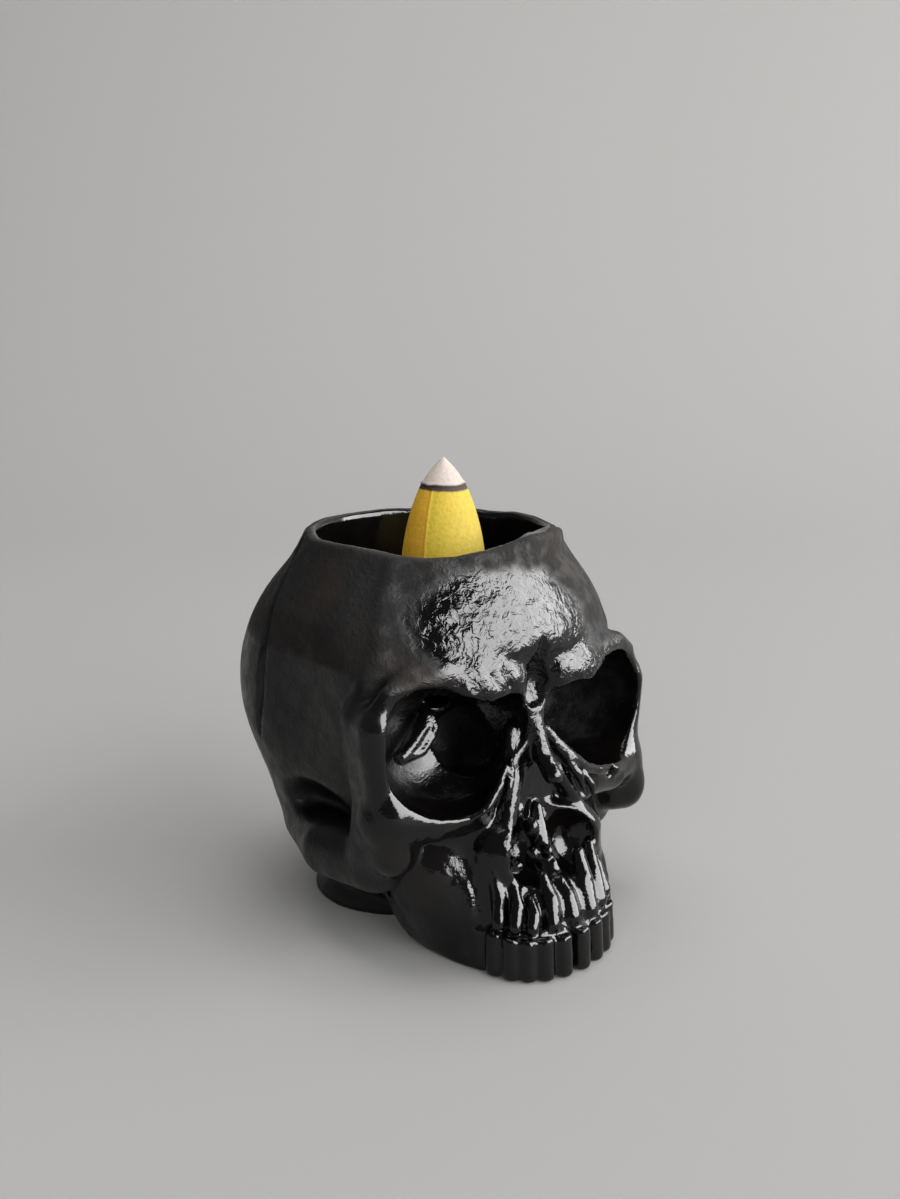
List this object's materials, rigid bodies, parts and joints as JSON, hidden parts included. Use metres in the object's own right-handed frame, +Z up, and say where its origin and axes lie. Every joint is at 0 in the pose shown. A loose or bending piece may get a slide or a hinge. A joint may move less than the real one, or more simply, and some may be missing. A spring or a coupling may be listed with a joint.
{
  "type": "skull incense burner and candle holder",
  "caption": "Cast black skull without a lower jaw, its crown cut level to a round bowl that holds an incense cone or a tealight; smoke ducts lead to the eye sockets.",
  "frame": {"origin": "on the resting surface, under the axis of the bowl", "axes": "+Z up along the axis of the bowl, -Y towards the face, +X towards the skull's own left"},
  "size_m": [0.0676, 0.0862, 0.0862],
  "materials": {
    "black_lacquer": "cast resin under gloss black lacquer",
    "pressed_incense": "matt pressed wood powder, dyed yellow, burnt to ash at the tip"
  },
  "bodies": {
    "root": {"skull": "black_lacquer", "incense_cone": "pressed_incense"}
  },
  "joints": []
}
